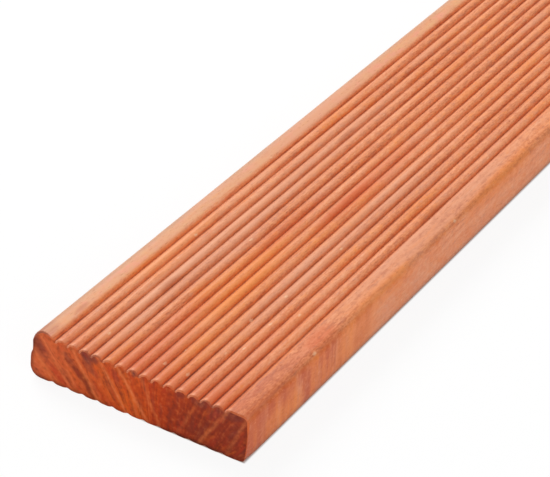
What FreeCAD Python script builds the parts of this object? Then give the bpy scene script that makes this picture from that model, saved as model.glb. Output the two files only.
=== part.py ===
import FreeCAD, Part
import os
import Sketcher
from FreeCAD import Vector

# A hardwood decking board, planed and reeded from one piece. X runs across the board, Y along it and Z up,
# and the origin is the middle of the underside. Sizes are in millimetres, and the one angle in degrees.
SIZES = {
    "board_length": (900, "one sawn end to the other"),
    "board_width": (90, "over both narrow faces"),
    "board_thickness": (19, "underside to the crests of the reeds"),
    "upper_left_radius": (5, "long arris above the left narrow face"),
    "upper_right_radius": (3, "long arris above the right narrow face"),
    "lower_left_radius": (4.5, "long arris under the left narrow face"),
    "lower_right_radius": (2, "long arris under the right narrow face"),
    "reed_pitch": (5, "one groove of the upper face to the next"),
    "reed_margin": (10, "board edge to the middle of the outermost upper groove"),
    "reed_depth": (1.3, "floor of an upper groove below the crests"),
    "reed_crest": (0.6, "flat along the crest of each reed"),
    "reed_floor": (0.5, "flat along the floor of each upper groove"),
    "rib_pitch": (6.4, "one groove of the underside to the next"),
    "rib_margin": (9.8, "board edge to the middle of the outermost lower groove"),
    "rib_depth": (0.7, "floor of a lower groove above the underside"),
    "rib_crest": (1.6, "flat along the crest of each rib"),
    "rib_floor": (0.6, "flat along the floor of each lower groove"),
    "crest_angle": (6, "angle at which a flank leaves the flat of its crest"),
    "cutter_overrun": (1, "height of the groove cutters outside the face"),
}
BOARD = "decking_board"
ORIGIN_POINT = (-1, 1)
X_AXIS = -1
# Share of a groove's depth by which its flanks are drawn out before their radius is set.
FIRST_BULGE = 0.2


def size(name):
    """One driving size as a number."""
    return SIZES[name][0]


def add_sheet(doc):
    """Spreadsheet with a row for each driving size: its name, its number and what it measures."""
    sheet = doc.addObject("Spreadsheet::Sheet", "Sizes")
    for row, (name, (number, meaning)) in enumerate(SIZES.items(), start=1):
        sheet.set(f"A{row}", name)
        sheet.set(f"B{row}", str(number))
        sheet.set(f"C{row}", meaning)
        sheet.setAlias(f"B{row}", name)


def add_sketch(body, name):
    """Empty sketch on the body's XZ plane, across the board."""
    sketch = body.newObject("Sketcher::SketchObject", name)
    plane = next(feature for feature in body.Origin.OriginFeatures if feature.Role == "XZ_Plane")
    sketch.AttachmentSupport = (plane, [""])
    sketch.MapMode = "FlatFace"
    return sketch


def add_outline(sketch, corners, arc_middles):
    """Closed outline through the corners, with an arc after each corner that has a middle point for it.

    Returns, for each corner, the end of the edge before it and the end of the edge after it, as (edge, end).
    """
    edges = []
    for index, corner in enumerate(corners):
        following = corners[(index + 1) % len(corners)]
        if index in arc_middles:
            edges.append(sketch.addGeometry(Part.Arc(corner, arc_middles[index], following)))
        else:
            edges.append(sketch.addGeometry(Part.LineSegment(corner, following)))
    return [
        [(edge, end_at(sketch, edge, corner)) for edge in (edges[index - 1], edges[index])]
        for index, corner in enumerate(corners)
    ]


def end_at(sketch, edge, corner):
    """Which end of an edge lies on a corner: 1 is its start and 2 its finish."""
    return min((1, 2), key=lambda end: sketch.getPoint(edge, end).distanceToPoint(corner))


def fix(sketch, kind, *places):
    """Constraint with no dimension."""
    sketch.addConstraint(Sketcher.Constraint(kind, *places))


def bind(sketch, name, expression, kind, *places):
    """Named dimension that follows an expression on the spreadsheet's sizes."""
    if kind == "Radius":
        drawn = sketch.Geometry[places[0]].Radius
    else:
        first, second = places[:2], places[2:]
        step = sketch.getPoint(*second) - sketch.getPoint(*first)
        drawn = step.x if kind == "DistanceX" else step.y
        if drawn < 0:
            places = second + first
    index = sketch.addConstraint(Sketcher.Constraint(kind, *places, abs(drawn)))
    sketch.renameConstraint(index, name)
    sketch.setExpression(f"Constraints.{name}", expression)


def add_blank(body):
    """Planed blank: a rectangle with its four long arrises rounded, drawn out along the board."""
    half = size("board_width") / 2
    top = size("board_thickness")
    # Each arris with its square corner, and the directions from there along the edges before and after it.
    arrises = [
        ("lower_left_radius", Vector(-half, 0), Vector(0, 1), Vector(1, 0)),
        ("lower_right_radius", Vector(half, 0), Vector(-1, 0), Vector(0, 1)),
        ("upper_right_radius", Vector(half, top), Vector(0, -1), Vector(-1, 0)),
        ("upper_left_radius", Vector(-half, top), Vector(1, 0), Vector(0, -1)),
    ]
    corners = []
    arc_middles = {}
    for name, square, before, after in arrises:
        radius = size(name)
        centre = square + (before + after) * radius
        arc_middles[len(corners)] = centre + (square - centre).normalize() * radius
        corners += [square + before * radius, square + after * radius]
    sketch = add_sketch(body, "BlankSection")
    joints = add_outline(sketch, corners, arc_middles)
    for before, after in joints:
        fix(sketch, "Tangent", *before, *after)
    lower_left, lower_right, upper_right, upper_left = range(0, len(corners), 2)
    underside, right_face, upper_face, left_face = range(1, len(corners), 2)
    fix(sketch, "Horizontal", underside)
    fix(sketch, "Vertical", right_face)
    fix(sketch, "Horizontal", upper_face)
    fix(sketch, "Vertical", left_face)
    fix(sketch, "PointOnObject", underside, 1, X_AXIS)
    bind(sketch, "half_width", "Sizes.board_width / 2", "DistanceX", *ORIGIN_POINT, right_face, 1)
    bind(sketch, "width", "Sizes.board_width", "DistanceX", left_face, 1, right_face, 1)
    bind(sketch, "thickness", "Sizes.board_thickness", "DistanceY", underside, 1, upper_face, 1)
    bind(sketch, "lower_left", "Sizes.lower_left_radius", "Radius", lower_left)
    bind(sketch, "lower_right", "Sizes.lower_right_radius", "Radius", lower_right)
    bind(sketch, "upper_right", "Sizes.upper_right_radius", "Radius", upper_right)
    bind(sketch, "upper_left", "Sizes.upper_left_radius", "Radius", upper_left)
    blank = body.newObject("PartDesign::Pad", "Blank")
    blank.Profile = sketch
    blank.SideType = "Symmetric"
    blank.setExpression("Length", "Sizes.board_length")
    return blank


def add_grooves(body, kind, face_height, inward):
    """Row of grooves along one face, which leaves round-shouldered reeds or ribs between them.

    kind starts the names of the row's sizes, and inward is the sign of Z from the face into the wood. The
    groove at the right-hand end of the row is drawn, and the row is centred on the board.
    """
    pitch, margin, depth, crest, floor = (
        size(f"{kind}_{part}") for part in ("pitch", "margin", "depth", "crest", "floor")
    )
    middle = pitch * round((size("board_width") - 2 * margin) / pitch) / 2
    left, right = middle - (pitch - crest) / 2, middle + (pitch - crest) / 2
    outside = face_height - inward * size("cutter_overrun")
    inside = face_height + inward * depth
    corners = [
        Vector(right, outside),
        Vector(left, outside),
        Vector(left, face_height),
        Vector(middle - floor / 2, inside),
        Vector(middle + floor / 2, inside),
        Vector(right, face_height),
    ]
    rim, left_wall, left_flank, bed, right_flank, right_wall = range(len(corners))
    bulge = Vector(0, -inward * depth * FIRST_BULGE)
    arc_middles = {
        flank: (corners[flank] + corners[flank + 1]) / 2 + bulge for flank in (left_flank, right_flank)
    }
    sketch = add_sketch(body, f"{kind.capitalize()}GrooveSection")
    joints = add_outline(sketch, corners, arc_middles)
    for before, after in joints:
        fix(sketch, "Coincident", *before, *after)
    fix(sketch, "Horizontal", rim)
    fix(sketch, "Vertical", left_wall)
    fix(sketch, "Horizontal", bed)
    fix(sketch, "Vertical", right_wall)
    fix(sketch, "Equal", left_wall, right_wall)
    fix(sketch, "Equal", left_flank, right_flank)

    # The flank is the arc through the crest's edge and the floor's edge that leaves the crest at its angle.
    spaces = f"round((Sizes.board_width - 2 * Sizes.{kind}_margin) / Sizes.{kind}_pitch)"
    mouth = f"(Sizes.{kind}_pitch - Sizes.{kind}_crest)"
    run = f"(({mouth} - Sizes.{kind}_floor) / 2)"
    fall = f"Sizes.{kind}_depth"
    sagitta = f"({fall} * cos(Sizes.crest_angle) - {run} * sin(Sizes.crest_angle))"
    outer_left, left_crest, left_floor, right_floor, right_crest = (after for _, after in joints[1:])
    bind(sketch, "overrun", "Sizes.cutter_overrun", "DistanceY", *outer_left, *left_crest)
    bind(sketch, "fall", fall, "DistanceY", *left_crest, *left_floor)
    bind(sketch, "mouth", mouth, "DistanceX", *left_crest, *right_crest)
    bind(sketch, "bed", f"Sizes.{kind}_floor", "DistanceX", *left_floor, *right_floor)
    bind(sketch, "run", run, "DistanceX", *left_crest, *left_floor)
    bind(sketch, "flank", f"({run}^2 + {fall}^2) / (2 * {sagitta})", "Radius", left_flank)
    reach = f"(Sizes.{kind}_pitch * {spaces} + {mouth}) / 2"
    bind(sketch, "reach", reach, "DistanceX", *ORIGIN_POINT, *right_crest)
    if face_height:
        bind(sketch, "level", "Sizes.board_thickness", "DistanceY", *ORIGIN_POINT, *left_crest)
    else:
        fix(sketch, "PointOnObject", *left_crest, X_AXIS)

    groove = body.newObject("PartDesign::Pocket", f"{kind.capitalize()}Groove")
    groove.Profile = sketch
    groove.Type = "ThroughAll"
    groove.SideType = "Symmetric"
    row = body.newObject("PartDesign::LinearPattern", f"{kind.capitalize()}Grooves")
    row.Originals = [groove]
    row.Direction = (sketch, ["H_Axis"])
    row.Reversed = True
    row.Mode = "Spacing"
    row.setExpression("Offset", f"Sizes.{kind}_pitch")
    row.setExpression("Occurrences", f"{spaces} + 1")
    body.Tip = row
    return row


def check(doc, stages):
    """Stop on a feature that failed, a solid that is not sound, or a row of grooves that cut nothing."""
    for thing in doc.Objects:
        if {"Invalid", "Error"} & set(thing.State):
            raise RuntimeError(f"{thing.Label}: {thing.State}")
    for stage in stages:
        if stage.Shape.isNull() or not stage.Shape.isValid() or len(stage.Shape.Solids) != 1:
            raise RuntimeError(f"{stage.Label} is not one sound solid")
    for before, after in zip(stages, stages[1:]):
        if after.Shape.Volume >= before.Shape.Volume:
            raise RuntimeError(f"{after.Label} cut nothing away")


def main():
    doc = FreeCAD.newDocument("DeckingBoard")
    add_sheet(doc)
    body = doc.addObject("PartDesign::Body", "Board")
    body.Label = BOARD
    body.Placement = FreeCAD.Placement()
    blank = add_blank(body)
    reeds = add_grooves(body, "reed", size("board_thickness"), -1)
    ribs = add_grooves(body, "rib", 0, 1)
    doc.recompute()
    check(doc, [blank, reeds, ribs])
    os.makedirs("parts", exist_ok=True)
    body.Shape.exportStep(os.path.join("parts", f"{body.Label}.step"))


main()
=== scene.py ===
import math

import bmesh
import bpy
from bpy.props import FloatProperty, FloatVectorProperty, PointerProperty
from mathutils import Matrix, Vector, noise


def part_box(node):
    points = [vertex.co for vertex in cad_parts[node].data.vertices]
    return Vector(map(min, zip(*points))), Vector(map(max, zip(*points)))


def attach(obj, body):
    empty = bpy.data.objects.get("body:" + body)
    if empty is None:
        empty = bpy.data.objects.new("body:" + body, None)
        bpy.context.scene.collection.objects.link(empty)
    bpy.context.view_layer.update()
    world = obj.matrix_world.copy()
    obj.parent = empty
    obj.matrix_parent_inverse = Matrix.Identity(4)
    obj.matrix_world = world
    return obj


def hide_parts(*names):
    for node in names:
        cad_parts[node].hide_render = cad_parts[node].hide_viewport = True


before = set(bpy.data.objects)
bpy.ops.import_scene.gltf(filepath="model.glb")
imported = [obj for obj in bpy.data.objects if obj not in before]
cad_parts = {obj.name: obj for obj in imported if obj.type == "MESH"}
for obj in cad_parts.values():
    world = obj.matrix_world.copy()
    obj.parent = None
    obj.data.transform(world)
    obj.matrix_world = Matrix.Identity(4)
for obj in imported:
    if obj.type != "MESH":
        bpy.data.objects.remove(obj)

bl_info = {
    "name": "Reeded Decking Board",
    "version": (1, 0, 0),
    "blender": (4, 5, 0),
    "location": "3D View > Sidebar > Decking",
    "description": "Builds a reeded hardwood decking board and the stage it is shown on",
    "category": "Add Mesh",
}

NODE = "decking_board"
BODY = "root"
LOWEST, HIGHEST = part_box(NODE)
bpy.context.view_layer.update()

MM = 0.001
PER_METRE = 1000
# The board's half width and thickness, in millimetres.
HALF = HIGHEST.x * PER_METRE
TOP = HIGHEST.z * PER_METRE

# Facets along each part of the section.
FLANK_FACETS = 5
RIB_FLANK_FACETS = 3
ARRIS_FACETS = 7
NARROW_FACE_FACETS = 6
MARGIN_FACETS = 3
RIB_MARGIN_FACETS = 2
# Distance in metres within which neighbouring points of the section are merged.
WELD = MM / 100

# Distances in millimetres from a sawn end at which the surface is divided.
END_STATIONS = (0.05, 0.14, 0.28, 0.46, 0.7, 1.1, 1.8, 2.8, 4.4, 6.4)
# Stretch of the board that is divided closely, and the spacing of the divisions there and past it, in metres.
SHOWN_LENGTH = 0.37
SHOWN_STEP = 0.0025
HIDDEN_STEP = 0.0052

# The wear, in millimetres.
# Distance along the board over which the saw cut's lean is taken up.
LEAN_REACH = 12
# Heights between which the rim's rounding grows from that of the sides to that of the upper face.
RIM_GROWS = (12, 16)
# Chip in the near end's upper left corner: middle across and up, and reach.
CHIP = (-43, 18, 7)
# Dent in the left narrow face: the place across that it stays left of, middle and reach up, and reach along.
DENT = (-43, 11.3, 2.7, 9)
# Worn lower right corner at the near end: reach in the section, and reach along.
WORN_CORNER = (4.5, 3.5)

# The stage, in metres.
# Half the side of the square floor.
FLOOR_REACH = 15
# Places across between which the floor under the board turns from white to its own shade.
FLOOR_TURNS = (-5 * MM, 8 * MM)
# The lights: setting, place and size. Both face one point of the board.
LIGHTS = (
    ("key", (-1.5, 0.6, 1.6), 1.2),
    ("fill", (1.6, -1.2, 1.0), 1.4),
)
LIT_POINT = (0, -0.25, 0)
# The nearest that the camera sees, and the width of its sensor in millimetres.
CAMERA_NEAREST = 0.01
SENSOR_WIDTH = 36


def length(name, description, default):
    """A size in metres."""
    return FloatProperty(name=name, description=description, default=default, unit="LENGTH", precision=5)


def turn(name, description, degrees):
    """An angle."""
    return FloatProperty(name=name, description=description, default=math.radians(degrees), subtype="ANGLE")


def share(name, description, default):
    """A plain number from 0 to 1."""
    return FloatProperty(name=name, description=description, default=default, min=0, max=1, subtype="FACTOR")


def tint(name, description, red, green, blue):
    """A colour as it looks on a screen, from 0 to 255, kept as linear light by the screen's curve."""
    linear = [
        (level / 255 / 12.92) if level < 10.3 else ((level / 255 + 0.055) / 1.055) ** 2.4
        for level in (red, green, blue)
    ]
    return FloatVectorProperty(
        name=name, description=description, default=linear, min=0, max=1, subtype="COLOR", size=3
    )


def brightness(name, description, default):
    """How bright a light is."""
    return FloatProperty(name=name, description=description, default=default, min=0)


class DECKING_PG_section(bpy.types.PropertyGroup):
    """Sizes of the board's section and of the wear on it."""

    upper_left_radius: length("Upper left arris", "Radius of the arris above the left face", 5.0 * MM)
    upper_right_radius: length("Upper right arris", "Radius of the arris above the right face", 3.0 * MM)
    lower_left_radius: length("Lower left arris", "Radius of the arris under the left face", 4.5 * MM)
    lower_right_radius: length("Lower right arris", "Radius of the arris under the right face", 2.0 * MM)
    reed_pitch: length("Reed pitch", "One groove of the upper face to the next", 5.0 * MM)
    reed_margin: length("Reed margin", "Board edge to the middle of the first upper groove", 10.0 * MM)
    reed_depth: length("Reed depth", "Floor of an upper groove below the crests", 1.3 * MM)
    reed_crest: length("Reed crest", "Flat along the crest of a reed", 0.6 * MM)
    reed_floor: length("Reed floor", "Flat along the floor of an upper groove", 0.5 * MM)
    rib_pitch: length("Rib pitch", "One groove of the underside to the next", 6.4 * MM)
    rib_margin: length("Rib margin", "Board edge to the middle of the first lower groove", 9.8 * MM)
    rib_depth: length("Rib depth", "Floor of a lower groove above the underside", 0.5 * MM)
    rib_crest: length("Rib crest", "Flat along the crest of a rib", 2.2 * MM)
    rib_floor: length("Rib floor", "Flat along the floor of a lower groove", 0.6 * MM)
    crest_angle: turn("Crest angle", "Angle at which a flank leaves the flat of its crest", 6)
    planing_wander: length("Planing wander", "How far the planed surface wanders from true", 0.07 * MM)
    rim_radius: length("Rim radius", "Rounding of a sawn end's rim at the sides and below", 0.25 * MM)
    reed_end_radius: length("Reed end radius", "Rounding of a sawn end's rim along the upper face", 0.7 * MM)
    saw_lean: length("Saw lean", "How far the saw cut of the near end leans back at the upper face", 0.9 * MM)
    dent_depth: length("Edge dent", "Depth of the dent in the left narrow face at the near end", 0.8 * MM)
    chip_depth: length("Corner chip", "Depth of the chip in the near end's upper left corner", 1.3 * MM)
    corner_wear: length("Corner wear", "What is worn off the lower right corner at the near end", 0.35 * MM)


class DECKING_PG_timber(bpy.types.PropertyGroup):
    """Colours and sheen of the timber."""

    deep: tint("Deep grain", "Darkest streaks of the long grain", 178, 88, 50)
    middle: tint("Heartwood", "Most of the long grain", 228, 144, 99)
    # Also laid as a painted highlight on the reeds' lips.
    pale: tint("Pale grain", "Palest streaks of the long grain", 246, 178, 138)
    amber: tint("Amber grain", "Warm patches of the long grain", 236, 136, 58)
    rose: tint("Rose grain", "Cool patches of the long grain", 224, 158, 126)
    ember: tint("Ember grain", "Red streaks of the long grain", 214, 100, 54)
    margin: tint("Left margin", "Pale wood of the left margin", 224, 164, 123)
    blush: tint("Margin blush", "Pink patches of the left margin", 236, 154, 130)
    straw: tint("Margin straw", "Yellow patches of the left margin", 228, 174, 118)
    arris: tint("Left arris", "Greyer wood along the upper left arris", 201, 151, 119)
    # Painted shade: multiplied over the groove flanks, mostly on the side away from the key light.
    groove: tint("Groove", "What the wood keeps of red, green and blue deep in a groove", 250, 210, 174)
    # Pores, and also the painted shade laid in the groove beds.
    pore_and_groove_shade: tint("Pores", "Open pores along the grain", 134, 56, 28)
    fleck: tint("Flecks", "Pale deposits in some pores", 248, 204, 164)
    ribbon_warm: tint("Warm ribbon", "Orange stripes across the narrow faces", 224, 112, 38)
    ribbon_cool: tint("Cool ribbon", "Red stripes across the narrow faces", 194, 82, 34)
    end_left: tint("Left end grain", "Sawn end at the left narrow face", 218, 102, 58)
    end_middle: tint("Middle end grain", "Sawn end left of the middle", 224, 94, 36)
    end_heart: tint("Heart end grain", "Sawn end right of the middle", 198, 69, 26)
    end_right: tint("Right end grain", "Sawn end at the right narrow face", 159, 58, 33)
    end_dark: tint("Dark end grain", "Dark threads of the sawn end", 124, 46, 28)
    end_stain: tint("End stain", "Purple-brown patches of the sawn end", 124, 62, 54)
    end_red: tint("Red end grain", "Red streaks of the sawn end", 204, 64, 38)
    end_hot: tint("Hot end grain", "Orange patches of the sawn end", 240, 108, 38)
    # Painted shade along the narrow faces' foot and along the sawn end's rim and lower edge.
    shade: tint("Edge shade", "Darkened lower edges of the board", 62, 32, 22)
    ray: tint("Rays", "Pale lines that fan across the sawn end", 240, 132, 76)
    sheen_roughness: share("Roughness", "Roughness of the planed wood", 0.48)
    sheen: share("Sheen", "Strength of the planed wood's reflections", 0.22)


class DECKING_PG_studio(bpy.types.PropertyGroup):
    """Floor, light and camera."""

    floor: tint("Floor", "Colour of the floor", 250, 250, 250)
    whiteness: share("Whiteness", "How far the floor is lifted to white", 0.9)
    sky: brightness("Sky", "Strength of the even light from all round", 0.38)
    key: brightness("Key light", "Strength of the large light at the upper left", 50)
    fill: brightness("Fill light", "Strength of the light at the right", 14)
    azimuth: turn("Azimuth", "Turn of the camera round the board, from the sawn end to the right", 28.2021)
    elevation: turn("Elevation", "Height of the camera above the horizon", 32.8137)
    roll: turn("Roll", "Turn of the camera about its own line of sight", 4.4239)
    distance: length("Distance", "Camera to the point it looks at", 0.7877)
    aim: FloatVectorProperty(
        name="Aim",
        description="Point the camera looks at, from the middle of the sawn end's lower edge",
        default=(0.0498146, 0, 0.0941645),
        subtype="XYZ",
        unit="LENGTH",
    )
    lens: FloatProperty(name="Lens", description="Focal length", default=160.764, unit="CAMERA")


class SectionPen:
    """Draws the section in the plane of a sawn end, with a vertex as its tip."""

    def __init__(self, bm, x, z):
        self.bm = bm
        self.tip = bm.verts.new((x, LOWEST.y, z))

    def run_to(self, x, z, facets=1):
        """Straight run from the tip."""
        step = (Vector((x, LOWEST.y, z)) - self.tip.co) / facets
        for _ in range(facets):
            drawn = bmesh.ops.extrude_vert_indiv(self.bm, verts=[self.tip])
            bmesh.ops.translate(self.bm, verts=drawn["verts"], vec=step)
            self.tip = drawn["verts"][0]

    def arc_to(self, middle_x, middle_z, x, z, facets):
        """Arc from the tip round a middle point, the shorter way."""
        start = math.atan2(self.tip.co.z - middle_z, self.tip.co.x - middle_x)
        finish = math.atan2(z - middle_z, x - middle_x)
        sweep = (finish - start + math.pi) % math.tau - math.pi
        drawn = bmesh.ops.spin(
            self.bm,
            geom=[self.tip],
            cent=(middle_x, LOWEST.y, middle_z),
            axis=(0, 1, 0),
            angle=-sweep,
            steps=facets,
        )
        self.tip = drawn["geom_last"][0]


class GrooveRow:
    """One row of grooves across a face, drawn from left to right or from right to left."""

    def __init__(self, sizes, kind, face, inward, facets):
        self.pitch, self.margin, self.depth, self.crest, self.floor = (
            getattr(sizes, f"{kind}_{part}") for part in ("pitch", "margin", "depth", "crest", "floor")
        )
        self.face = face
        self.inward = inward
        self.facets = facets
        width = HIGHEST.x - LOWEST.x
        spaces = round((width - 2 * self.margin) / self.pitch)
        self.middles = [self.pitch * (place - spaces / 2) for place in range(spaces + 1)]
        run = (self.pitch - self.crest - self.floor) / 2
        tilt = sizes.crest_angle
        self.radius = (run**2 + self.depth**2) / (2 * (self.depth * math.cos(tilt) - run * math.sin(tilt)))
        self.lean = self.radius * math.sin(tilt)
        self.drop = self.radius * math.cos(tilt)

    def draw(self, pen, direction):
        """Grooves in the order in which the pen meets them, going right (1) or left (-1)."""
        bed = self.face + self.inward * self.depth
        shoulder = self.face + self.inward * self.drop
        half_mouth = (self.pitch - self.crest) / 2
        for middle in self.middles[::direction]:
            before = middle - direction * half_mouth
            after = middle + direction * half_mouth
            pen.run_to(before, self.face)
            half_bed = direction * self.floor / 2
            pen.arc_to(before - direction * self.lean, shoulder, middle - half_bed, bed, self.facets)
            pen.run_to(middle + half_bed, bed)
            pen.arc_to(after + direction * self.lean, shoulder, after, self.face, self.facets)


def draw_section(bm, sizes):
    """Closed outline of the board's section at the near end, anticlockwise as seen from there."""
    left, right, top = LOWEST.x, HIGHEST.x, HIGHEST.z
    low_left, low_right = sizes.lower_left_radius, sizes.lower_right_radius
    up_left, up_right = sizes.upper_left_radius, sizes.upper_right_radius
    ribs = GrooveRow(sizes, "rib", 0, 1, RIB_FLANK_FACETS)
    reeds = GrooveRow(sizes, "reed", top, -1, FLANK_FACETS)
    half_mouth = (sizes.reed_pitch - sizes.reed_crest) / 2
    pen = SectionPen(bm, left + low_left, 0)
    ribs.draw(pen, 1)
    pen.run_to(right - low_right, 0, RIB_MARGIN_FACETS)
    pen.arc_to(right - low_right, low_right, right, low_right, ARRIS_FACETS)
    pen.run_to(right, top - up_right, NARROW_FACE_FACETS)
    pen.arc_to(right - up_right, top - up_right, right - up_right, top, ARRIS_FACETS)
    pen.run_to(reeds.middles[-1] + half_mouth, top, MARGIN_FACETS)
    reeds.draw(pen, -1)
    pen.run_to(left + up_left, top, MARGIN_FACETS)
    pen.arc_to(left + up_left, top - up_left, left, top - up_left, ARRIS_FACETS)
    pen.run_to(left, low_left, NARROW_FACE_FACETS)
    pen.arc_to(left + low_left, low_left, left + low_left, 0, ARRIS_FACETS)
    bmesh.ops.remove_doubles(bm, verts=bm.verts, dist=WELD)


def stations():
    """Places along the board at which its surface is divided, close together at the ends."""
    whole = HIGHEST.y - LOWEST.y
    near = [distance * MM for distance in END_STATIONS]
    places = [0, *near]
    while places[-1] < whole - near[-1] - HIDDEN_STEP:
        places.append(places[-1] + (SHOWN_STEP if places[-1] < SHOWN_LENGTH else HIDDEN_STEP))
    places += [whole - distance for distance in reversed(near)]
    places.append(whole)
    return places


def draw_out(bm):
    """Extrudes the section along the board, station by station."""
    edges = bm.edges[:]
    places = stations()
    for before, after in zip(places, places[1:]):
        grown = bmesh.ops.extrude_edge_only(bm, edges=edges)["geom"]
        edges = [part for part in grown if isinstance(part, bmesh.types.BMEdge)]
        verts = [part for part in grown if isinstance(part, bmesh.types.BMVert)]
        bmesh.ops.translate(bm, verts=verts, vec=(0, after - before, 0))


def planed_off(sizes, x, along, z):
    """What the plane took off, with a slow and a quick wander."""
    slow = noise.noise((x * 0.35, along * 0.03, z * 0.35 + 7))
    quick = noise.noise((x * 0.9 + 31, along * 0.16, z * 0.9))
    return sizes.planing_wander * max(0, 0.55 + 0.6 * slow + 0.45 * quick)


def rim_off(sizes, x, along, z, from_end):
    """What rounds the rim of a sawn end."""
    low, high = RIM_GROWS
    upper = min(1, max(0, (z - low) / (high - low)))
    uneven = 0.9 + 0.5 * noise.noise((x * 0.5, along / 300, z * 0.5 + 50))
    radius = (sizes.rim_radius + (sizes.reed_end_radius - sizes.rim_radius) * upper) * uneven
    inside = max(0, 1 - from_end * MM / radius)
    return radius * (1 - math.sqrt(1 - inside**2))


def handled_off(sizes, x, along, z):
    """What handling took off the near end: a dent at the left and the lower corner at the right."""
    dent_side, dent_z, dent_rise, dent_reach = DENT
    if x < dent_side:
        dent = max(0, 1 - ((z - dent_z) / dent_rise) ** 2) ** 2 * math.exp(-((along / dent_reach) ** 2))
        return sizes.dent_depth * dent
    reach, reach_along = WORN_CORNER
    from_corner = math.hypot(HIGHEST.x / MM - x, z)
    corner = max(0, 1 - from_corner / reach) * math.exp(-((along / reach_along) ** 2))
    return sizes.corner_wear * math.sqrt(corner)


def chipped_off(sizes, x, z):
    """How far the chip in the near end's corner goes back."""
    chip_x, chip_z, chip_reach = CHIP
    chipped = max(0, 1 - ((x - chip_x) ** 2 + (z - chip_z) ** 2) / chip_reach**2)
    return sizes.chip_depth * chipped**2 * (3 - 2 * chipped)


def wear(bm, sizes):
    """Moves the surface in by what planing, handling and sawing took off it."""
    bm.normal_update()
    for vert in bm.verts:
        x, along, z = vert.co.x / MM, (vert.co.y - LOWEST.y) / MM, vert.co.z / MM
        from_end = min(along, (HIGHEST.y - vert.co.y) / MM)
        inward = planed_off(sizes, x, along, z) + rim_off(sizes, x, along, z, from_end)
        inward += handled_off(sizes, x, along, z)
        lean = sizes.saw_lean * vert.co.z / HIGHEST.z + chipped_off(sizes, x, z)
        back = lean * max(0, 1 - along / LEAN_REACH)
        vert.co += Vector((0, back, 0)) - vert.normal * inward


def close_ends(bm):
    """Fills both sawn ends."""
    rims = [edge for edge in bm.edges if edge.is_boundary]
    caps = bmesh.ops.edgeloop_fill(bm, edges=rims, mat_nr=1)["faces"]
    for face in bm.faces:
        face.smooth = True
    for edge in rims:
        edge.smooth = False
    for face in caps:
        face.smooth = False
    bmesh.ops.recalc_face_normals(bm, faces=bm.faces)


def finished_object(bm, name, materials):
    """Makes an object at the origin, which rides on the board's body and stands for the CAD node."""
    mesh = bpy.data.meshes.new(name)
    bm.to_mesh(mesh)
    bm.free()
    piece = bpy.data.objects.new(name, mesh)
    bpy.context.scene.collection.objects.link(piece)
    for material in materials:
        mesh.materials.append(material)
    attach(piece, BODY)
    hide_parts(NODE)


class Wire:
    """An output socket of a node tree. Arithmetic on it adds Math nodes."""

    def __init__(self, tree, socket=None):
        self.tree = tree
        self.socket = socket

    def node(self, kind, settings=None, inputs=None, output=0):
        """Adds any node: its settings first, then the values or links of its sockets."""
        made = self.tree.nodes.new(kind)
        for name, value in (settings or {}).items():
            if name == "stops":
                self.set_stops(made.color_ramp.elements, value)
            else:
                setattr(made, name, value)
        for key, value in (inputs or {}).items():
            if isinstance(value, Wire):
                self.tree.links.new(value.socket, made.inputs[key])
            else:
                made.inputs[key].default_value = value
        return Wire(self.tree, made.outputs[output] if made.outputs else None)

    @staticmethod
    def set_stops(elements, stops):
        """Gives a colour ramp its stops, as (place, colour)."""
        while len(elements) < len(stops):
            elements.new(1)
        for element, (place, colour) in zip(elements, stops):
            element.position = place
            element.color = colour

    def math(self, operation, *operands):
        return self.node("ShaderNodeMath", {"operation": operation}, dict(enumerate(operands)))

    def __add__(self, other):
        return self.math("ADD", self, other)

    __radd__ = __add__

    def __sub__(self, other):
        return self.math("SUBTRACT", self, other)

    def __rsub__(self, other):
        return self.math("SUBTRACT", other, self)

    def __mul__(self, other):
        return self.math("MULTIPLY", self, other)

    __rmul__ = __mul__

    def __truediv__(self, other):
        return self.math("DIVIDE", self, other)

    def __rtruediv__(self, other):
        return self.math("DIVIDE", other, self)

    def __abs__(self):
        return self.math("ABSOLUTE", self)

    def step(self, low, high):
        """0 below low, 1 above high, and smooth between; the other way round where low is above high."""
        if low > high:
            return 1 - self.step(high, low)
        return self.node(
            "ShaderNodeMapRange",
            {"interpolation_type": "SMOOTHSTEP"},
            {"Value": self, "From Min": low, "From Max": high},
        )

    def squared(self):
        return self * self

    def root(self):
        return self.math("SQRT", self)

    def floor(self):
        return self.math("FLOOR", self)

    def at_least(self, lowest):
        return self.math("MAXIMUM", self, lowest)

    def slope_angle(self, run):
        """Angle in radians of a slope with this rise and that run."""
        return self.math("ARCTAN2", self, run)

    def ridge(self, middle, width):
        """1 at the middle, and 0 further away than the width."""
        return abs(self - middle).step(width, 0)

    def over(self, base, colour, blend="MIX"):
        """This value as the share of a colour laid over a base."""
        return self.node(
            "ShaderNodeMix",
            {"data_type": "RGBA", "blend_type": blend},
            {0: self, 6: base, 7: colour},
            2,
        )


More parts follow.
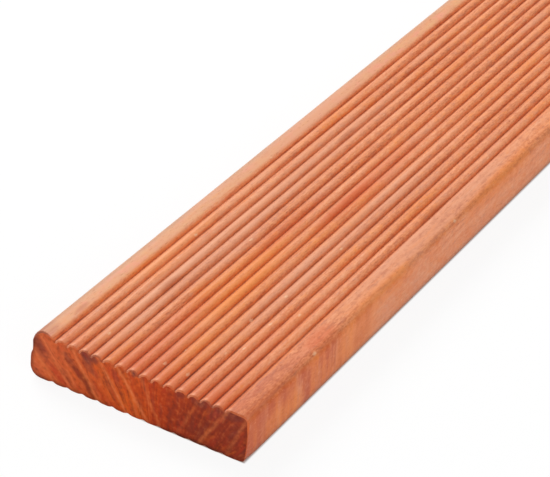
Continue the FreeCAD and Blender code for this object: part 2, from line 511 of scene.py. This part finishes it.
class Timber:
    """Places and patterns in the wood, in millimetres, for one material."""

    def __init__(self, tree):
        self.tree = Wire(tree)
        place = self.tree.node("ShaderNodeTexCoord", output="Object")
        scaled = self.tree.node(
            "ShaderNodeVectorMath", {"operation": "MULTIPLY"}, {0: place, 1: (PER_METRE,) * 3}
        )
        self.x, y, self.z = (
            self.tree.node("ShaderNodeSeparateXYZ", inputs={0: scaled}, output=axis) for axis in range(3)
        )
        self.along = y - LOWEST.y * PER_METRE

    def spot(self, x, y, z):
        """Place for a pattern."""
        return self.tree.node("ShaderNodeCombineXYZ", inputs={0: x, 1: y, 2: z})

    def cloud(self, x, y, z, detail=2, roughness=0.5):
        """Noise at a place, about 0 in the middle."""
        made = self.tree.node(
            "ShaderNodeTexNoise",
            {"noise_dimensions": "3D"},
            {"Vector": self.spot(x, y, z), "Scale": 1, "Detail": detail, "Roughness": roughness},
        )
        return made - 0.5

    def grain(self, across, along, seed, detail=3, roughness=0.55):
        """Noise drawn out along the board, about 0 in the middle."""
        aside, ahead = self.x / across + seed, self.along / along + seed
        return self.cloud(aside, ahead, self.z / across, detail, roughness)

    def dashes(self, across, along, seed, size, chance):
        """Short dashes along the grain, in a share of the cells."""
        where = self.spot(self.x / across + seed, self.along / along, self.z / across)
        settings = {"voronoi_dimensions": "3D", "feature": "F1"}
        inputs = {"Vector": where, "Scale": 1, "Randomness": 1}
        distance = self.tree.node("ShaderNodeTexVoronoi", settings, inputs, "Distance")
        lot = self.tree.node("ShaderNodeTexVoronoi", settings, inputs, "Color")
        chosen = self.tree.node("ShaderNodeSeparateColor", inputs={0: lot}).step(chance + 0.02, chance - 0.02)
        return distance.step(size, size * 0.4) * chosen

    def patch(self, first, first_middle, first_reach, second, second_middle, second_reach):
        """1 at a spot of two coordinates, and 0 outside its reach."""
        aside = (first - first_middle) / first_reach
        ahead = (second - second_middle) / second_reach
        return (aside.squared() + ahead.squared()).step(1, 0)


def new_material(name):
    """Material with nothing but its output."""
    material = bpy.data.materials.new(name)
    material.use_nodes = True
    tree = material.node_tree
    for node in list(tree.nodes):
        if node.type != "OUTPUT_MATERIAL":
            tree.nodes.remove(node)
    return material, tree


def output_shader(tree, shader):
    """Links a shader to the material's output."""
    target = next(node for node in tree.nodes if node.type == "OUTPUT_MATERIAL")
    tree.links.new(shader.socket, target.inputs["Surface"])


def rgba(colour):
    """Colour with full alpha."""
    return (*colour, 1)


class Coat:
    """Colour of a surface, with one tone of the timber laid over another."""

    def __init__(self, wood, timber, place, stops):
        self.timber = timber
        ramp = {"stops": [(stop, self.tone(name)) for stop, name in stops]}
        self.colour = wood.tree.node("ShaderNodeValToRGB", ramp, {0: place})

    def tone(self, name):
        """One of the timber's colours by its name."""
        return rgba(getattr(self.timber, name))

    def lay(self, cover, name, blend="MIX"):
        """Lays a tone over the colour so far, by the share that the cover gives."""
        self.colour = cover.over(self.colour, self.tone(name), blend)


def finish_wood(wood, tree, coat, relief, bump_strength, roughness, sheen):
    """Shader of the wood, from its coat of colour, its relief in millimetres, its roughness and its sheen."""
    bump = wood.tree.node(
        "ShaderNodeBump", inputs={"Strength": bump_strength, "Distance": MM, "Height": relief}
    )
    shader = wood.tree.node(
        "ShaderNodeBsdfPrincipled",
        inputs={
            "Base Color": coat.colour,
            "Roughness": roughness,
            "Normal": bump,
            "Specular IOR Level": sheen,
        },
    )
    output_shader(tree, shader)


# Shares of the thickness between which the upper face's wood sets in.
UPPER_START = (0.62, 0.75)
# Distances in millimetres from a narrow face between which each zone of the planed faces sets in.
REEDS_START = (7.2, 8.2)
MARGIN_START = (9, 7.5)
ARRIS_START = (5.5, 2.5)
NARROW_FACE_START = (1.2, 0.1)
# Where the painted shade along the narrow faces' foot sets in.
FOOT_SHADE_START = (4, 2.5)
# Distances in millimetres from the near end between which the narrow faces' stripes end.
STRIPES_END = (93, 83)

# Strength of the bump on planed and on sawn wood, and the dull finish of sawn wood.
PLANED_BUMP = 0.6
SAWN_BUMP = 0.5
SAWN_ROUGHNESS = 0.72
SAWN_SHEEN = 0.12

# Patches of the upper face near the shown end: tone, middle and reach across, middle and reach along,
# in millimetres, and strength.
GRAIN_PATCHES = (
    ("amber", -1.0, 12.0, 72.0, 50.0, 0.5),
    ("amber", 2.5, 4.0, 62.0, 26.0, 0.4),
    ("amber", 11.0, 8.0, 32.0, 40.0, 0.4),
    ("amber", -33.0, 4.5, 74.0, 45.0, 0.5),
    ("amber", 7.0, 3.0, 118.0, 26.0, 0.3),
    ("amber", 43.5, 3.0, 98.0, 30.0, 0.4),
    ("amber", 43.5, 3.0, 195.0, 40.0, 0.5),
    ("pale", -32.5, 3.5, 100.0, 90.0, 0.3),
    ("pale", -22.5, 4.0, 70.0, 80.0, 0.35),
    ("rose", -20.0, 9.0, 100.0, 150.0, 0.5),
    ("rose", 15.5, 6.0, 110.0, 110.0, 0.5),
    ("rose", 38.5, 5.0, 150.0, 100.0, 0.5),
    ("rose", -39.0, 5.0, 190.0, 80.0, 0.5),
    ("end_stain", -41.0, 5.0, 3.0, 9.0, 0.35),
    ("deep", 34.0, 2.0, 155.0, 16.0, 0.3),
    ("deep", -20.5, 2.0, 55.0, 9.0, 0.35),
    ("end_red", 41.0, 7.0, 30.0, 42.0, 0.16),
    ("end_stain", 41.0, 6.0, 20.0, 32.0, 0.12),
    ("deep", -38.0, 1.2, 22.0, 6.0, 0.3),
    ("deep", -21.0, 1.6, 187.0, 9.0, 0.3),
    ("ember", -5.0, 7.0, 26.0, 40.0, 0.4),
    ("ember", 2.5, 4.0, 14.0, 32.0, 0.3),
    ("ember", 4.5, 2.6, 140.0, 30.0, 0.5),
    ("ember", 5.0, 7.0, 165.0, 50.0, 0.3),
    ("ember", -6.0, 5.0, 115.0, 40.0, 0.3),
    ("ember", 41.0, 6.0, 57.0, 12.0, 0.45),
    ("ember", 29.0, 7.0, 40.0, 45.0, 0.25),
)

# Patches of the narrow faces near the shown end: tone, middle and reach along, middle and reach up,
# in millimetres, and strength.
SIDE_PATCHES = (
    ("amber", 22.0, 16.0, 4.0, 9.0, 0.4),
    ("amber", 76.0, 24.0, 8.0, 16.0, 0.35),
    ("ribbon_cool", 10.0, 9.0, 15.0, 7.0, 0.35),
    ("ribbon_cool", 29.0, 12.0, 16.0, 6.0, 0.4),
    ("ribbon_cool", 48.0, 13.0, 9.0, 13.0, 0.25),
)

# Pale flecks that stand out on the reeds and the right-hand margin: place across and along, in millimetres.
FLECKS = (
    (-31.1, 87.8),
    (-21.6, 15.0),
    (-12.2, 96.7),
    (4.0, 11.7),
    (14.0, 10.8),
    (14.6, 52.5),
    (17.8, 71.7),
    (18.4, 111.7),
    (22.1, 53.3),
    (22.1, 35.0),
    (27.8, 64.2),
    (43.7, 47.5),
    (44.0, 156.0),
)
# Reach of such a fleck across and along, in millimetres.
FLECK_REACH = (0.6, 1.4)


def inset(distances, side=1):
    """Places across at some distances from the right (1) or the left (-1) narrow face."""
    return [side * (HALF - distance) for distance in distances]


class PlanedTimber(Timber):
    """Zones and figure of the planed faces."""

    def __init__(self, tree, sizes):
        super().__init__(tree)
        self.upper = self.z.step(*(TOP * part for part in UPPER_START))
        self.reeded = abs(self.x).step(*inset(REEDS_START)) * self.upper
        self.left_margin = self.x.step(*inset(MARGIN_START, -1)) * self.upper
        self.left_arris = self.x.step(*inset(ARRIS_START, -1)) * self.upper
        self.right_margin = self.x.step(*inset(MARGIN_START)) * self.upper
        self.narrow_face = abs(self.x).step(*inset(NARROW_FACE_START))
        self.near = self.along.step(*STRIPES_END)
        row_place = self.x / (sizes.reed_pitch * PER_METRE)
        self.reed = row_place.floor()
        self.across_reed = row_place - self.reed
        self.broad = self.grain(9, 130, 14.3)
        self.streak = self.grain(1.5, 60, 11.7, 4)
        self.fibre = self.grain(0.4, 5, 27.3, 2)
        self.silk = self.grain(0.6, 1.5, 71.3, 2, 0.6)
        self.blotch = self.grain(1.7, 4.5, 47.9, 2)

    def depth_of_tone(self):
        """Place of the wood on the ramp from deep to pale."""
        each_reed = self.cloud(self.reed * 5.17, self.along / 75, 6.5) * self.reeded
        figure = self.broad * 0.4 + self.streak * 0.7 + each_reed * 0.3
        calm = 1 - self.narrow_face * self.near * 0.7
        tone = 0.5 + figure * calm + self.fibre * 0.45 + self.silk * 0.65 + self.blotch * 0.6
        return tone + self.narrow_face * 0.1 - self.right_margin * self.along.step(90, 20) * 0.12


def lay_left_margin(wood, coat):
    """Pale left margin with pink and yellow patches, greyer along its arris."""
    rosy = wood.grain(4, 9, 33.1)
    coat.lay(wood.left_margin * (0.75 + wood.silk * 1.2), "margin")
    coat.lay(wood.left_margin * rosy.step(0, 0.2) * 0.6, "blush")
    coat.lay(wood.left_margin * rosy.step(0, -0.2) * 0.4, "straw")
    greyer = 0.85 + wood.along.step(60, 180) * 0.1 + wood.blotch + rosy
    coat.lay(wood.left_arris * greyer, "arris")


def lay_streaks(wood, coat):
    """Amber, rose and ember streaks along the grain, and the patches near the shown end."""
    warm = wood.cloud(wood.reed * 3.7 + wood.x * 0.03, wood.along / 45, 9.1).step(-0.02, 0.2)
    amber = warm * 0.35 + wood.blotch.step(0.02, 0.25) * 0.45
    salmon = wood.right_margin * wood.along.step(95, 60)
    coat.lay(amber * (1 - wood.left_margin * 0.7 - salmon * 0.8), "amber")
    cool = wood.cloud(wood.reed * 2.9 + 40, wood.along / 60, 17.3).step(0.02, 0.22)
    coat.lay(cool * 0.4 + wood.blotch.step(-0.02, -0.25) * 0.45, "rose")
    glow = wood.grain(1.1, 24, 95.3, 2).step(0.06, 0.28)
    coat.lay(glow * wood.reeded * 0.45, "ember")
    wavy = wood.x + wood.broad * 8
    for name, middle_x, reach_x, middle_y, reach_y, strength in GRAIN_PATCHES:
        spot = wood.patch(wavy, middle_x, reach_x, wood.along, middle_y, reach_y) * wood.upper
        coat.lay(spot * (strength + wood.streak), name)
    coat.lay(wood.right_margin * wood.blotch.step(0.02, -0.3) * 0.45, "deep")
    redder = wood.along.step(34, 2) * (0.2 + wood.x.step(-14, -4) * 0.25) + wood.along.step(13, 4) * 0.12
    redder = redder * (1 + wood.streak - wood.right_margin * 0.5 - wood.left_margin * 0.5)
    coat.lay(redder * wood.upper, "ember")


def lay_side_stripes_and_foot_shade(wood, coat):
    """Upright stripes of the narrow faces, which end away from the shown end, and painted shade along their
    foot.
    """
    ribbon = wood.cloud(wood.along / 4 + wood.z * 0.02, wood.z / 40, wood.x / 400, 3, 0.55)
    drift = wood.cloud(wood.along / 15, wood.z / 12, wood.x / 400 + 5)
    mottle = wood.cloud(wood.along / 2.4, wood.z / 2, wood.x / 400 + 9)
    flush = wood.cloud(wood.along / 6 + 70, wood.z / 30, wood.x / 400)
    weave = ribbon * 1.1 + drift * 0.5 + mottle * 0.3
    stripe = wood.narrow_face * wood.near * (1 - wood.along.step(48, 85) * 0.3)
    coat.lay(stripe * 0.8, "ribbon_warm")
    coat.lay(stripe * flush.step(-0.05, 0.2) * 0.4, "rose")
    coat.lay(stripe * weave.step(0.1, -0.25) * 0.9, "ribbon_cool")
    coat.lay(stripe * weave.step(0, 0.3) * 0.75, "amber")
    coat.lay(wood.narrow_face * (1 - wood.near) * (0.35 + mottle + drift * 0.7), "ribbon_warm")
    wavy = wood.along + ribbon * 12
    for name, middle_y, reach_y, middle_z, reach_z, strength in SIDE_PATCHES:
        spot = wood.patch(wavy, middle_y, reach_y, wood.z, middle_z, reach_z)
        coat.lay(spot * wood.narrow_face * strength, name)
    coat.lay(wood.narrow_face * (wood.along + ribbon * 20).step(24, 3) * 0.6, "ribbon_cool")
    coat.lay(stripe * wood.silk.step(0.05, 0.3) * 0.4, "pale")
    coat.lay(stripe * wood.silk.step(-0.05, -0.3) * 0.4, "ribbon_cool")
    # Painted shade along the lower edge of the narrow faces, in place of the shade under the lower arris.
    foot = wood.z.step(4.2, 0.4) * abs(wood.x).step(*inset(FOOT_SHADE_START))
    coat.lay(foot * 0.55, "shade")


def lay_groove_shade(wood, coat, depth):
    """Painted shade: darker flanks and beds of the grooves, mostly on the side of each reed away from the key
    light.
    """
    fall = (TOP - wood.z) / depth
    ragged = fall + wood.cloud(wood.reed * 7.3, wood.along / 5, wood.x * 0.4, 3, 0.6) * 0.6
    shaded_side = wood.across_reed.step(0.45, 0.6)
    uneven = 1 + wood.cloud(wood.reed * 6.1 + 20, wood.along / 30, 4.4) * 1.6
    # Painted shade on the flanks, growing towards the groove floor.
    flank = ragged.step(0.1, 0.9) * (0.08 + shaded_side * 0.92) * wood.reeded * uneven
    coat.lay(flank, "groove", "MULTIPLY")
    # Painted shade in the groove beds.
    bed = ragged.step(0.72, 1.05) * (shaded_side + wood.across_reed.step(0.06, 0.02)) * wood.reeded
    coat.lay(bed * uneven * (0.42 + wood.along.step(70, 5) * 0.25), "pore_and_groove_shade")


def lay_pores(wood, coat):
    """Open pores and the pale flecks in some of them. Returns the pores, for the relief."""
    pores = wood.dashes(0.85, 3.5, 5.3, 0.36, 0.35)
    coat.lay(pores * (0.2 - wood.narrow_face * 0.08), "pore_and_groove_shade")
    flecks = wood.dashes(2.2, 5, 61.7, 0.24, 0.1) * wood.grain(12, 60, 83.1).step(-0.06, 0.1) * 0.6
    wavy = wood.x + wood.silk * 0.8
    reach_x, reach_y = FLECK_REACH
    for middle_x, middle_y in FLECKS:
        flecks = flecks + wood.patch(wavy, middle_x, reach_x, wood.along, middle_y, reach_y) * wood.upper
    coat.lay(flecks * (0.5 + wood.silk - wood.narrow_face * 0.2), "fleck")
    return pores


def lay_saw_marks_and_lip_highlight(wood, coat, sizes):
    """Painted highlight on the lips of the reeds, a bright rim and dark places where the saw came through."""
    chip_x, chip_z, chip_reach = CHIP
    chipped = wood.patch(wood.x, chip_x, chip_reach, wood.z, chip_z, chip_reach)
    lean = wood.z * (sizes.saw_lean / HIGHEST.z)
    from_saw = wood.along - lean - chipped * (sizes.chip_depth * PER_METRE)
    # Painted highlight on the lit left half of each reed, just behind the sawn end.
    lip_highlight = from_saw.step(2.6, 1) * wood.reeded * wood.across_reed.step(0.6, 0.4)
    coat.lay(lip_highlight * 0.35, "pale")
    coat.lay(from_saw.step(0.6, 0.1) * wood.upper * 0.4, "end_middle")
    dark = wood.x.ridge(-19.3, 7) + wood.x.ridge(-1.8, 3) + wood.x.ridge(30, 11) + wood.x.step(-37, -41)
    dark = (from_saw + wood.silk * 1.2).step(0.8, 0.1) * dark * wood.upper
    coat.lay(dark * 0.5, "end_stain")


def long_grain(timber, sizes):
    """Planed and oiled wood, seen along the grain."""
    material, tree = new_material("planed_hardwood")
    wood = PlanedTimber(tree, sizes)
    coat = Coat(wood, timber, wood.depth_of_tone(), ((0.1, "deep"), (0.5, "middle"), (0.9, "pale")))
    lay_left_margin(wood, coat)
    lay_streaks(wood, coat)
    lay_side_stripes_and_foot_shade(wood, coat)
    lay_groove_shade(wood, coat, sizes.reed_depth * PER_METRE)
    pores = lay_pores(wood, coat)
    lay_saw_marks_and_lip_highlight(wood, coat, sizes)
    relief = wood.fibre * 0.04 + wood.silk * 0.04 - pores * 0.03
    roughness = timber.sheen_roughness + wood.fibre * 0.2 + pores * 0.1
    finish_wood(wood, tree, coat, relief, PLANED_BUMP, roughness, timber.sheen)
    return material


# Pale rays on the sawn end: the places across where each meets the upper face and the underside,
# in millimetres, and its strength.
RAYS = (
    (-52.0, -33.3, 0.7),
    (-43.0, -26.5, 0.7),
    (-35.0, -24.0, 0.3),
    (-28.6, -15.2, 0.9),
    (-17.5, -3.1, 0.9),
    (-9.6, 5.4, 1.0),
    (0.0, 10.6, 0.5),
    (25.3, 16.7, 0.3),
    (36.7, 25.6, 0.6),
    (44.5, 36.9, 0.5),
)
# Half the width of a ray, in millimetres.
RAY_REACH = 1.5

# Foot of the fan in which the rays spread, in millimetres.
FAN_FOOT = (13.3, -32.0)

# Radius in millimetres at which the painted shade along the sawn end's rim turns its corners.
SHADE_RIM_CORNER = 4.5

# Patches of the sawn end: tone, middle and reach across at mid height, middle and reach up,
# in millimetres, and strength.
END_PATCHES = (
    ("end_hot", -3.5, 7.5, 4.0, 7.5, 0.8),
    ("end_hot", -13.0, 2.0, 11.0, 8.0, 0.4),
    ("end_red", -39.0, 4.0, 4.5, 5.0, 0.5),
    ("end_red", -18.5, 3.0, 4.0, 5.5, 0.5),
    ("end_red", -7.5, 2.8, 14.0, 4.5, 0.5),
    ("end_red", 18.8, 2.5, 4.0, 6.0, 0.45),
    ("end_stain", -37.5, 4.2, 15.0, 6.0, 0.6),
    ("end_stain", -26.5, 2.2, 12.0, 4.0, 0.3),
    ("end_stain", -16.8, 3.2, 13.5, 5.0, 0.45),
    ("end_stain", -16.2, 2.8, 17.2, 2.8, 0.85),
    ("end_stain", -13.4, 2.0, 17.4, 2.0, 0.8),
    ("end_stain", 0.2, 1.8, 17.9, 2.0, 0.9),
    ("end_stain", 16.8, 2.4, 17.5, 2.2, 0.45),
    ("end_stain", 21.9, 2.4, 17.0, 2.4, 0.4),
    ("end_stain", 24.5, 2.6, 17.2, 2.4, 0.6),
    ("end_stain", 29.2, 2.8, 15.0, 3.5, 0.55),
    ("end_stain", 34.5, 5.0, 17.5, 3.5, 0.6),
    ("end_stain", 38.5, 3.0, 11.5, 5.0, 0.35),
    ("end_dark", -24.6, 2.8, 6.5, 7.5, 0.7),
    ("end_dark", -3.4, 3.0, 16.0, 3.0, 0.25),
    ("end_dark", 23.0, 13.0, 7.0, 10.0, 0.25),
)


class SawnTimber(Timber):
    """Figure of the sawn ends, which fans out from a foot below the board."""

    def __init__(self, tree):
        super().__init__(tree)
        foot_x, foot_z = FAN_FOOT
        self.sway = self.cloud(self.x / 8, self.z / 8, self.along / 300)
        aside = self.x - foot_x
        rise = self.z - foot_z
        self.fan = aside / rise * (TOP / 2 - foot_z) + foot_x
        angle = rise.slope_angle(aside) + self.sway * 0.06
        spread = (aside.squared() + rise.squared()).root()
        calm = 1 - self.x.ridge(13, 11) * 0.6
        self.band = self.cloud(angle * 14, spread / 60, self.along / 300, 3, 0.6)
        self.thread = self.cloud(angle * 42, spread / 16, self.along / 100, 2) * calm
        self.mottle = self.cloud(self.x / 1.8, self.z / 1.8, self.along / 100, 1)
        self.hue = self.cloud(angle * 20 + 40, spread / 11, self.along / 200, 1)
        self.blush = self.cloud(angle * 24 + 90, spread / 9, self.along / 200, 1)


def lay_end_figure(wood, coat):
    """Patches, bands and threads of the sawn end."""
    drift = wood.sway * 5
    for name, middle_x, reach_x, middle_z, reach_z, strength in END_PATCHES:
        spot = wood.patch(wood.fan + drift, middle_x, reach_x, wood.z + drift, middle_z, reach_z)
        coat.lay(spot * (strength + wood.thread), name)
    coat.lay(wood.hue.step(0, 0.25) * 0.35, "end_stain")
    coat.lay(wood.hue.step(0, -0.25) * 0.3, "end_hot")
    coat.lay(wood.blush.step(0.02, 0.25) * 0.4, "end_red")
    figure = wood.band * 0.8 + wood.thread * 1.2 + wood.mottle * (1 + wood.x.step(4, 20) * 0.6)
    coat.lay(figure.step(0.1, -0.6) * 0.75, "end_dark")
    coat.lay(figure.step(0, 0.5) * (0.5 - wood.x.step(2, 24) * 0.3), "ray")


def lay_rays(wood, coat):
    """Pale rays that fan across the sawn end."""
    rays = 0
    for above, below, strength in RAYS:
        line = wood.x - above + (wood.z - TOP) * ((below - above) / TOP) + wood.sway * 1.2
        rays = rays + line.ridge(0, RAY_REACH) * strength
    coat.lay(rays * (0.55 + wood.thread * 0.8 + wood.mottle * 0.8), "ray")


def lay_end_rim_shade(wood, coat):
    """Painted shade along the rim of the sawn end below its reeds, and a painted shadow line along its lower
    edge.
    """
    beyond_x = (abs(wood.x) - (HALF - SHADE_RIM_CORNER)).at_least(0)
    beyond_z = (abs(wood.z - TOP / 2) - (TOP / 2 - SHADE_RIM_CORNER)).at_least(0)
    outward = (beyond_x.squared() + beyond_z.squared()).root()
    # Painted shade along the rounded rim, left off the upper face.
    rim = outward.step(SHADE_RIM_CORNER - 2.1, SHADE_RIM_CORNER - 0.2) * wood.z.step(17, 14)
    rim = rim * (1 - wood.x.ridge(1, 18) * 0.6) * (1 - wood.x.step(28, 40) * 0.5)
    coat.lay(rim * 0.5, "shade")
    # Painted contact shadow along the lower edge of the right-hand half.
    underline_shade = wood.z.step(1.8, 0.3) * wood.x.step(7, 16) * wood.x.step(42, 32)
    coat.lay(underline_shade * 0.45, "shade")


def end_grain(timber):
    """Sawn wood, seen across the grain."""
    material, tree = new_material("sawn_end_grain")
    wood = SawnTimber(tree)
    across = wood.x / (2 * HALF) + 0.5 + wood.sway * 0.1
    stops = ((0.05, "end_left"), (0.4, "end_middle"), (0.58, "end_heart"), (0.82, "end_right"))
    coat = Coat(wood, timber, across, stops)
    lay_end_figure(wood, coat)
    lay_rays(wood, coat)
    lay_end_rim_shade(wood, coat)
    relief = wood.mottle * 0.1 + wood.thread * 0.08
    roughness = SAWN_ROUGHNESS + wood.mottle * 0.2
    finish_wood(wood, tree, coat, relief, SAWN_BUMP, roughness, SAWN_SHEEN)
    return material


def floor_paint(studio):
    """Pale floor that looks white, keeps a soft shadow, and is dark under the board's right-hand half."""
    material, tree = new_material("floor_paint")
    floor = Wire(tree)
    paint = floor.node(
        "ShaderNodeBsdfPrincipled",
        inputs={"Base Color": rgba(studio.floor), "Roughness": 0.9, "Specular IOR Level": 0},
    )
    glow = floor.node("ShaderNodeEmission", inputs={"Color": (1, 1, 1, 1), "Strength": 1})
    seen, mirrored, through = (
        floor.node("ShaderNodeLightPath", output=f"Is {kind} Ray")
        for kind in ("Camera", "Glossy", "Transmission")
    )
    place = floor.node("ShaderNodeTexCoord", output="Object")
    x, y = (floor.node("ShaderNodeSeparateXYZ", inputs={0: place}, output=axis) for axis in range(2))
    beneath = x.step(*FLOOR_TURNS) * x.step(HIGHEST.x, HIGHEST.x - MM)
    beneath = beneath * y.step(LOWEST.y, LOWEST.y + MM / 2) * y.step(HIGHEST.y, HIGHEST.y - MM)
    lift = (seen + mirrored + through) * (1 - beneath) * studio.whiteness
    output_shader(tree, floor.node("ShaderNodeMixShader", inputs={0: lift, 1: paint, 2: glow}))
    return material


class DECKING_OT_board(bpy.types.Operator):
    """Build the reeded board"""

    bl_idname = "decking.board"
    bl_label = "Reeded Board"

    def execute(self, context):
        sizes = context.scene.decking_section
        timber = context.scene.decking_timber
        bm = bmesh.new()
        draw_section(bm, sizes)
        draw_out(bm)
        wear(bm, sizes)
        close_ends(bm)
        finished_object(bm, "reeded_board", [long_grain(timber, sizes), end_grain(timber)])
        return {"FINISHED"}


def aim_light(name, place, target, size, watts):
    """Square area light that faces a point."""
    lamp = bpy.data.lights.new(name, "AREA")
    lamp.shape = "SQUARE"
    lamp.size = size
    lamp.energy = watts
    light = bpy.data.objects.new(name, lamp)
    bpy.context.scene.collection.objects.link(light)
    light.location = place
    light.rotation_mode = "QUATERNION"
    light.rotation_quaternion = (Vector(target) - Vector(place)).to_track_quat("-Z", "Y")


class DECKING_OT_stage(bpy.types.Operator):
    """Set out the floor, the lights and the camera"""

    bl_idname = "decking.stage"
    bl_label = "Stage"

    def execute(self, context):
        studio = context.scene.decking_studio
        self.lay_floor(studio)
        self.hang_lights(context, studio)
        self.place_camera(context, studio)
        context.scene.view_settings.view_transform = "Standard"
        return {"FINISHED"}

    def lay_floor(self, studio):
        bm = bmesh.new()
        bmesh.ops.create_grid(bm, x_segments=1, y_segments=1, size=FLOOR_REACH)
        mesh = bpy.data.meshes.new("studio_floor")
        bm.to_mesh(mesh)
        bm.free()
        floor = bpy.data.objects.new("studio_floor", mesh)
        bpy.context.scene.collection.objects.link(floor)
        mesh.materials.append(floor_paint(studio))

    def hang_lights(self, context, studio):
        world = bpy.data.worlds.new("studio_sky")
        world.use_nodes = True
        background = world.node_tree.nodes["Background"]
        background.inputs["Color"].default_value = (1, 1, 1, 1)
        background.inputs["Strength"].default_value = studio.sky
        context.scene.world = world
        for name, place, size in LIGHTS:
            aim_light(name, place, LIT_POINT, size, getattr(studio, name))

    def place_camera(self, context, studio):
        across = Vector((math.cos(studio.azimuth), math.sin(studio.azimuth), 0))
        level = Vector((math.sin(studio.azimuth), -math.cos(studio.azimuth), 0))
        back = level * math.cos(studio.elevation) + Vector((0, 0, math.sin(studio.elevation)))
        upward = back.cross(across)
        turned_across = across * math.cos(studio.roll) + upward * math.sin(studio.roll)
        turned_upward = upward * math.cos(studio.roll) - across * math.sin(studio.roll)
        place = Vector((0, LOWEST.y, 0)) + Vector(studio.aim) + back * studio.distance
        data = bpy.data.cameras.new("camera")
        data.sensor_fit = "HORIZONTAL"
        data.sensor_width = SENSOR_WIDTH
        data.lens = studio.lens
        data.clip_start = CAMERA_NEAREST
        camera = bpy.data.objects.new("camera", data)
        context.scene.collection.objects.link(camera)
        axes = Matrix((turned_across, turned_upward, back)).transposed()
        camera.matrix_world = Matrix.Translation(place) @ axes.to_4x4()
        context.scene.camera = camera


class DECKING_PT_panel(bpy.types.Panel):
    """Lists the board's and the stage's settings and builders"""

    bl_idname = "DECKING_PT_panel"
    bl_label = "Decking Board"
    bl_space_type = "VIEW_3D"
    bl_region_type = "UI"
    bl_category = "Decking"

    def draw(self, context):
        layout = self.layout
        for operator, group in (
            (DECKING_OT_board, context.scene.decking_section),
            (None, context.scene.decking_timber),
            (DECKING_OT_stage, context.scene.decking_studio),
        ):
            box = layout.box()
            for name in group.__annotations__:
                box.prop(group, name)
            if operator:
                box.operator(operator.bl_idname)


CLASSES = (
    DECKING_PG_section,
    DECKING_PG_timber,
    DECKING_PG_studio,
    DECKING_OT_board,
    DECKING_OT_stage,
    DECKING_PT_panel,
)


def register():
    for cls in CLASSES:
        bpy.utils.register_class(cls)
    bpy.types.Scene.decking_section = PointerProperty(type=DECKING_PG_section)
    bpy.types.Scene.decking_timber = PointerProperty(type=DECKING_PG_timber)
    bpy.types.Scene.decking_studio = PointerProperty(type=DECKING_PG_studio)


def unregister():
    del bpy.types.Scene.decking_studio
    del bpy.types.Scene.decking_timber
    del bpy.types.Scene.decking_section
    for cls in reversed(CLASSES):
        bpy.utils.unregister_class(cls)


def main():
    register()
    bpy.ops.decking.board()
    bpy.ops.decking.stage()


if __name__ == "__main__":
    main()
